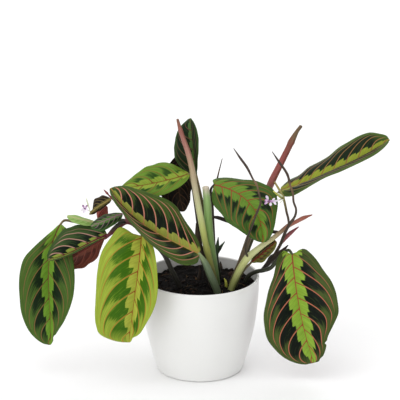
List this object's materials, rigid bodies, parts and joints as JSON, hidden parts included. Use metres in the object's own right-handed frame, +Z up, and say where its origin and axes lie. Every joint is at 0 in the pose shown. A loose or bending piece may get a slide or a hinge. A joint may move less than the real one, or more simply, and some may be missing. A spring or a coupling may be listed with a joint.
{
  "type": "potted prayer plant",
  "caption": "Prayer plant (maranta) with patterned leaves, bare stalks and thin flower stalks, growing in peat in a plain round white pot.",
  "frame": {"origin": "centre of the underside of the pot, on the surface that it stands on", "axes": "+Z up along the pot's axis; +X to the right along the plant's widest spread; the plant's front faces -Y"},
  "size_m": [0.398, 0.15, 0.2855],
  "materials": {
    "leaf_far_left": "satin",
    "leaf_left_folded": "satin",
    "leaf_left_underside": "satin",
    "leaf_front_left": "satin",
    "leaf_centre": "satin",
    "leaf_upper_left": "satin",
    "leaf_drooping_back": "satin",
    "leaf_top_rolled": "satin",
    "leaf_centre_right": "satin",
    "leaf_far_right": "satin",
    "leaf_lower_right": "satin",
    "leaf_under_stalk": "satin",
    "leaf_young_pale": "satin",
    "leaf_small_left": "satin",
    "leaf_young_pink": "satin",
    "leaf_dried": "satin",
    "petiole_far_left": "satin",
    "petiole_left_folded": "satin",
    "stem_left": "matte",
    "petiole_front_left": "satin",
    "petiole_centre": "satin",
    "petiole_upper_left": "satin",
    "petiole_drooping_back": "satin",
    "petiole_top_rolled": "satin",
    "petiole_centre_right": "satin",
    "petiole_far_right": "satin",
    "petiole_lower_right": "satin",
    "petiole_under_stalk": "satin",
    "stalk_pale": "satin",
    "stalk_cut": "satin",
    "sheath_dark": "matte",
    "stalk_tall_red": "satin",
    "stalk_bent_pale": "satin",
    "branch_brown": "matte",
    "sheath_right": "matte",
    "flower_stalk_right": "matte",
    "flower_stalk_middle": "matte",
    "flower_stalk_left": "matte",
    "flower_spike_back": "matte",
    "spike_red": "matte",
    "shoot_left": "matte",
    "shoot_young": "matte",
    "bud_red": "matte",
    "sprout_brown": "matte",
    "sprout_green": "matte",
    "sprout_stub": "matte",
    "flower_left": "matte",
    "flower_right": "matte",
    "bract_right": "matte",
    "sprout_forked": "matte",
    "pot": "satin",
    "peat": "matte"
  },
  "bodies": {
    "root": {"leaf_far_left": "leaf_far_left", "leaf_left_folded": "leaf_left_folded", "leaf_left_underside": "leaf_left_underside", "leaf_front_left": "leaf_front_left", "leaf_centre": "leaf_centre", "leaf_upper_left": "leaf_upper_left", "leaf_drooping_back": "leaf_drooping_back", "leaf_top_rolled": "leaf_top_rolled", "leaf_centre_right": "leaf_centre_right", "leaf_far_right": "leaf_far_right", "leaf_lower_right": "leaf_lower_right", "leaf_under_stalk": "leaf_under_stalk", "leaf_young_pale": "leaf_young_pale", "leaf_small_left": "leaf_small_left", "leaf_young_pink": "leaf_young_pink", "leaf_dried": "leaf_dried", "petiole_far_left": "petiole_far_left", "petiole_left_folded": "petiole_left_folded", "stem_left": "stem_left", "petiole_front_left": "petiole_front_left", "petiole_centre": "petiole_centre", "petiole_upper_left": "petiole_upper_left", "petiole_drooping_back": "petiole_drooping_back", "petiole_top_rolled": "petiole_top_rolled", "petiole_centre_right": "petiole_centre_right", "petiole_far_right": "petiole_far_right", "petiole_lower_right": "petiole_lower_right", "petiole_under_stalk": "petiole_under_stalk", "stalk_pale": "stalk_pale", "stalk_cut": "stalk_cut", "sheath_dark": "sheath_dark", "stalk_tall_red": "stalk_tall_red", "stalk_bent_pale": "stalk_bent_pale", "branch_brown": "branch_brown", "sheath_right": "sheath_right", "flower_stalk_right": "flower_stalk_right", "flower_stalk_middle": "flower_stalk_middle", "flower_stalk_left": "flower_stalk_left", "flower_spike_back": "flower_spike_back", "spike_red": "spike_red", "shoot_left": "shoot_left", "shoot_young": "shoot_young", "bud_red": "bud_red", "sprout_brown": "sprout_brown", "sprout_green": "sprout_green", "sprout_stub": "sprout_stub", "flower_left": "flower_left", "flower_right": "flower_right", "bract_right": "bract_right", "sprout_forked": "sprout_forked", "pot": "pot", "peat": "peat"}
  },
  "joints": []
}
